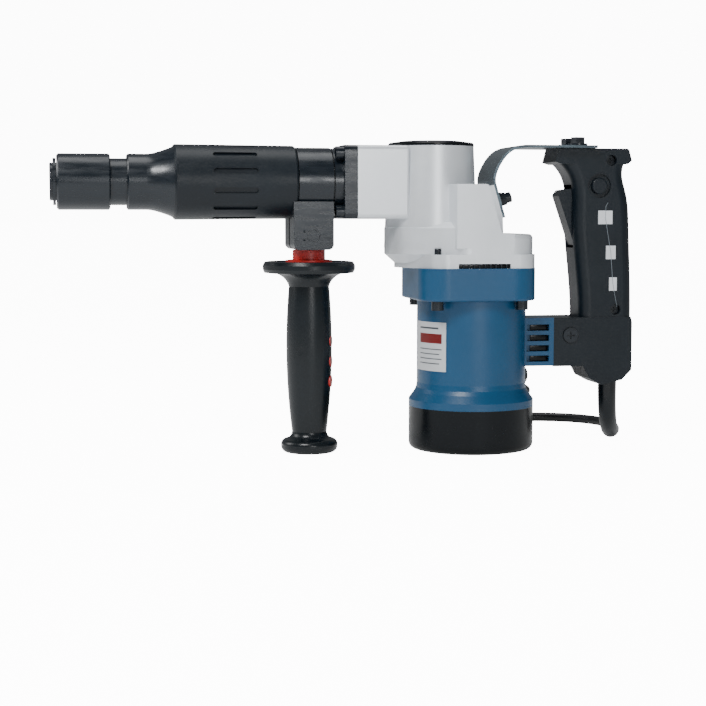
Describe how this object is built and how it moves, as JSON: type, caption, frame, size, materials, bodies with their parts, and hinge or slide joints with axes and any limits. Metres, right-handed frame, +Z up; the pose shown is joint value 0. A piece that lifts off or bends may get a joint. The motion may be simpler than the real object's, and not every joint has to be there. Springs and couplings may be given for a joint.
{
  "type": "electric jackhammer",
  "caption": "Hand-held electric demolition hammer: front tool holder with sliding sleeve, slotted barrel, silver gear case, blue upright motor, side grip and rear trigger handle.",
  "frame": {"origin": "centre of the object's footprint box on the surface it stands on, measured without the mains lead", "axes": "+Z up; -X the way the tool holder points; +X the rear handle; the hammer axis lies along X at Y = 0"},
  "size_m": [0.4525, 0.1999, 0.2313],
  "materials": {
    "cast_silver": "painted satin",
    "plastic_blue": "satin",
    "plastic_black": "fine grain",
    "cap_black": "semi-gloss",
    "rubber_black": "matte",
    "steel_black": "black oxide, oiled",
    "steel_bright": "ground",
    "steel_grey": "satin grey",
    "cast_grey": "as cast",
    "copper": "enamelled wire",
    "brass": "plain",
    "carbon": "matte graphite",
    "red": "satin",
    "pale_inlay": "gloss",
    "label": "printed film",
    "cord": "matte"
  },
  "bodies": {
    "housing": {"nose_ring": "steel_black", "tool_holder": "steel_black", "chuck_spring": "steel_bright", "barrel": "steel_black", "barrel_cover": "plastic_black", "flange_screws": "steel_black", "anvil_bush": "steel_bright", "cylinder": "steel_bright", "crank_bearing_upper": "steel_bright", "crank_bearing_lower": "steel_bright", "gear_housing": "cast_silver", "crank_lid": "cap_black", "bearing_plate": "cast_grey", "motor_housing": "plastic_blue", "housing_screws": "steel_black", "end_cap": "cap_black", "rating_label": "label", "motor_bearing_upper": "steel_bright", "motor_bearing_lower": "steel_bright", "stator": "steel_grey", "field_coils": "copper", "brush_holders": "brass", "carbon_brushes": "carbon", "handle_left": "plastic_black", "handle_right": "plastic_black", "handle_inlays": "pale_inlay", "handle_screws": "steel_black", "trigger_pin": "steel_bright", "switch_body": "plastic_black", "strap": "steel_grey", "strap_bolts": "steel_black", "cord_guard": "rubber_black", "mains_cord": "cord", "cord_coil": "cord", "mains_plug": "cap_black"},
    "sleeve": {"chuck_sleeve": "steel_black"},
    "ball_left": {"lock_ball_left": "steel_bright"},
    "ball_right": {"lock_ball_right": "steel_bright"},
    "bolt": {"impact_bolt": "steel_bright"},
    "striker": {"striker": "steel_bright", "striker_seal": "rubber_black"},
    "piston": {"piston": "cast_grey", "piston_seal": "rubber_black", "wrist_pin": "steel_bright"},
    "rod": {"connecting_rod": "cast_grey"},
    "crank": {"crankshaft": "steel_bright", "crank_gear": "steel_bright"},
    "armature": {"armature_shaft": "steel_bright", "armature_core": "steel_grey", "armature_winding": "copper", "commutator": "copper", "fan": "plastic_black"},
    "trigger": {"trigger": "plastic_black"},
    "lock_button": {"lock_button": "plastic_black"},
    "side_clamp": {"side_clamp": "steel_black", "clamp_pin": "steel_bright", "grip_stud": "steel_bright"},
    "side_grip": {"side_grip": "rubber_black", "clamp_collar": "red", "grip_inlays": "red"}
  },
  "joints": [
    {"name": "sleeve_slide", "type": "slide", "parent": "housing", "child": "sleeve", "axis": [1, 0, 0], "range_m": [0, 0.008], "stiffness_N_per_m": 1500, "springref_m": -0.004, "deforming": ["chuck_spring"]},
    {"name": "ball_left_slide", "type": "slide", "parent": "housing", "child": "ball_left", "axis": [0, -1, 0], "range_m": [0, 0.002]},
    {"name": "ball_right_slide", "type": "slide", "parent": "housing", "child": "ball_right", "axis": [0, 1, 0], "range_m": [0, 0.002]},
    {"name": "bolt_slide", "type": "slide", "parent": "housing", "child": "bolt", "axis": [1, 0, 0], "range_m": [0, 0.008]},
    {"name": "striker_slide", "type": "slide", "parent": "housing", "child": "striker", "axis": [1, 0, 0], "range_m": [0, 0.0105]},
    {"name": "piston_slide", "type": "slide", "parent": "housing", "child": "piston", "axis": [-1, 0, 0], "range_m": [0, 0.024]},
    {"name": "rod_swing", "type": "hinge", "parent": "piston", "child": "rod", "pos_m": [0.0202, 0, 0.1975], "axis": [0, 0, 1], "range_deg": [-13.3, 13.3]},
    {"name": "crank_spin", "type": "hinge", "parent": "housing", "child": "crank", "pos_m": [0.0602, 0, 0.1975], "axis": [0, 0, 1], "continuous": true},
    {"name": "armature_spin", "type": "hinge", "parent": "housing", "child": "armature", "pos_m": [0.0915, 0, 0.1], "axis": [0, 0, 1], "continuous": true},
    {"name": "trigger_press", "type": "hinge", "parent": "housing", "child": "trigger", "pos_m": [0.1725, 0, 0.157], "axis": [0, 1, 0], "range_deg": [0, 8], "stiffness_Nm_per_rad": 1.2, "springref_deg": -17.19},
    {"name": "lock_button_press", "type": "slide", "parent": "housing", "child": "lock_button", "axis": [0, 1, 0], "range_m": [0, 0.0035], "stiffness_N_per_m": 600, "springref_m": -0.004},
    {"name": "clamp_swivel", "type": "hinge", "parent": "housing", "child": "side_clamp", "pos_m": [-0.0289, 0, 0.1975], "axis": [1, 0, 0], "continuous": true},
    {"name": "grip_twist", "type": "hinge", "parent": "side_clamp", "child": "side_grip", "pos_m": [-0.031, 0, 0.1], "axis": [0, 0, 1], "range_deg": [0, 360]}
  ],
  "couplings": [
    {"joint": "ball_left_slide", "follows": "sleeve_slide", "ratio": 0.25},
    {"joint": "ball_right_slide", "follows": "sleeve_slide", "ratio": 0.25},
    {"joint": "armature_spin", "follows": "crank_spin", "ratio": -6.5714}
  ]
}
